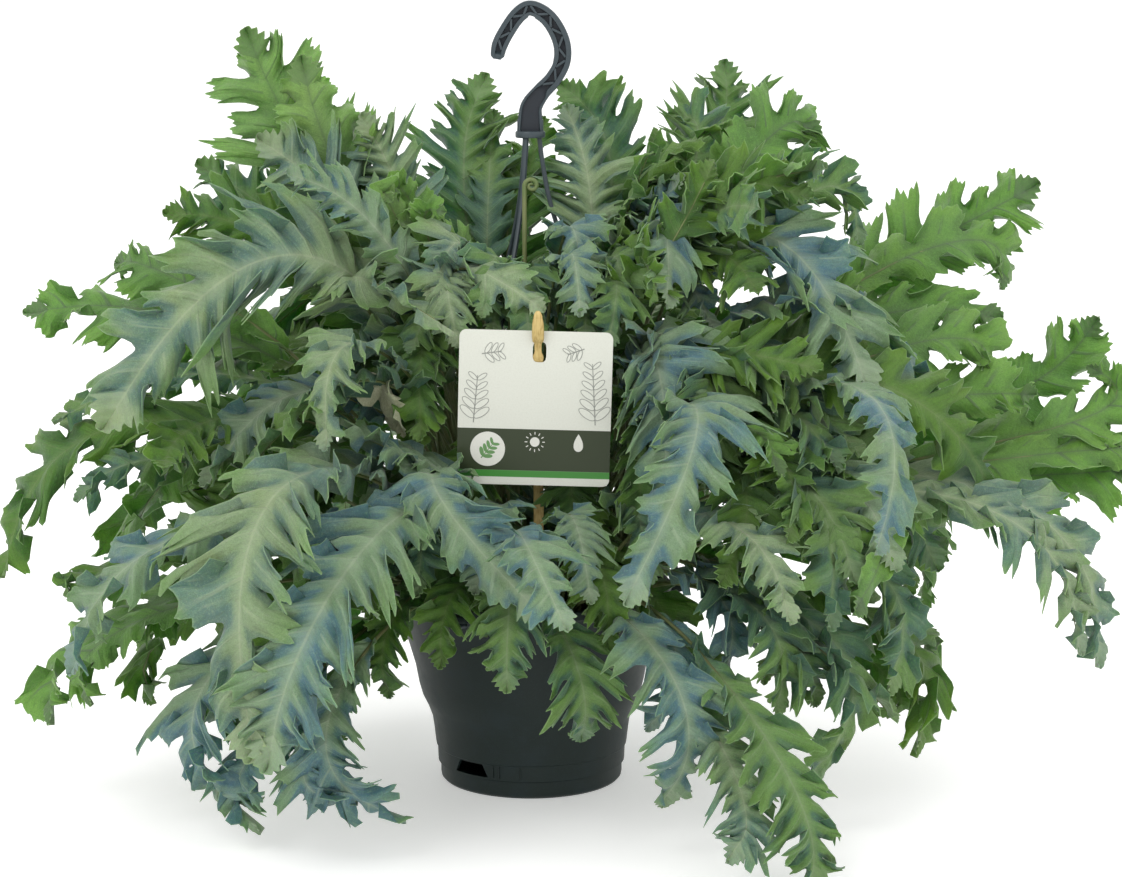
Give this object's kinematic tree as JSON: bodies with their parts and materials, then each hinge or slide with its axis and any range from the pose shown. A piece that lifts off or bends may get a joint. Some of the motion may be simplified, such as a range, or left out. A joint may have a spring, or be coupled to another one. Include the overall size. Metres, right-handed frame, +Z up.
{
  "type": "blue star fern in hanging basket",
  "caption": "Ruffled blue-green fern in a dark plastic hanging pot with saucer, hooked hanger and a blank plant label on a stick.",
  "frame": {"origin": "seat of the hook, on the pot's axis, where the hanging part is held", "axes": "+Z up along the pot's axis, +X to the right and -Y out of the label's side"},
  "size_m": [0.851, 0.6221, 0.584],
  "materials": {
    "pot_plastic": "fine satin grain, anthracite",
    "hanger_plastic": "satin, slate grey",
    "soil": "crumbly potting mix",
    "card": "smooth off-white printed card",
    "stick": "plain sawn wood",
    "leaf_blue": "waxy blue-green leaf",
    "leaf_sage": "waxy sage leaf",
    "leaf_light": "young light green leaf",
    "leaf_deep": "deep green leaf"
  },
  "bodies": {
    "root": {"pot": "pot_plastic", "saucer": "pot_plastic", "soil": "soil", "hanger_hook": "hanger_plastic", "hanger_leg_4": "hanger_plastic", "hanger_leg_124": "hanger_plastic", "hanger_leg_244": "hanger_plastic", "label_card": "card", "label_stick": "stick", "frond_big_left": "leaf_sage", "frond_hanging_left": "leaf_sage", "frond_top_left": "leaf_light", "frond_back_left_high": "leaf_deep", "frond_far_left_high": "leaf_light", "frond_far_left_low": "leaf_deep", "frond_left_middle": "leaf_blue", "frond_left_inner": "leaf_blue", "frond_front_left": "leaf_sage", "frond_low_left_droop": "leaf_blue", "frond_low_left_front": "leaf_blue", "frond_under_front_left": "leaf_deep", "frond_left_low": "leaf_light", "frond_below_card": "leaf_blue", "frond_over_pot_left": "leaf_deep", "frond_over_pot_right": "leaf_deep", "frond_front_right": "leaf_blue", "frond_right_inner": "leaf_sage", "frond_right_middle": "leaf_deep", "frond_right_upper": "leaf_deep", "frond_low_front": "leaf_blue", "frond_low_right": "leaf_deep", "frond_low_right_front": "leaf_sage", "frond_right_droop": "leaf_deep", "frond_right_low": "leaf_deep", "frond_far_right": "leaf_sage", "frond_right_light_low": "leaf_light", "frond_right_edge_low": "leaf_light", "frond_right_edge_high": "leaf_light", "frond_right_light_middle": "leaf_light", "frond_right_light_high": "leaf_light", "frond_upper_right": "leaf_blue", "frond_top_right_light": "leaf_light", "frond_top_right": "leaf_deep", "frond_top_middle_right": "leaf_deep", "frond_top_middle_left": "leaf_deep", "frond_crown_front": "leaf_blue", "frond_crown_right": "leaf_blue", "frond_crown_left": "leaf_sage", "frond_back_low_right": "leaf_deep", "frond_back_low_middle": "leaf_deep", "frond_back_low_left": "leaf_sage", "frond_back_side_left": "leaf_deep", "frond_back_high_right": "leaf_sage", "frond_back_high_middle": "leaf_blue", "frond_back_high_left": "leaf_deep"}
  },
  "joints": []
}
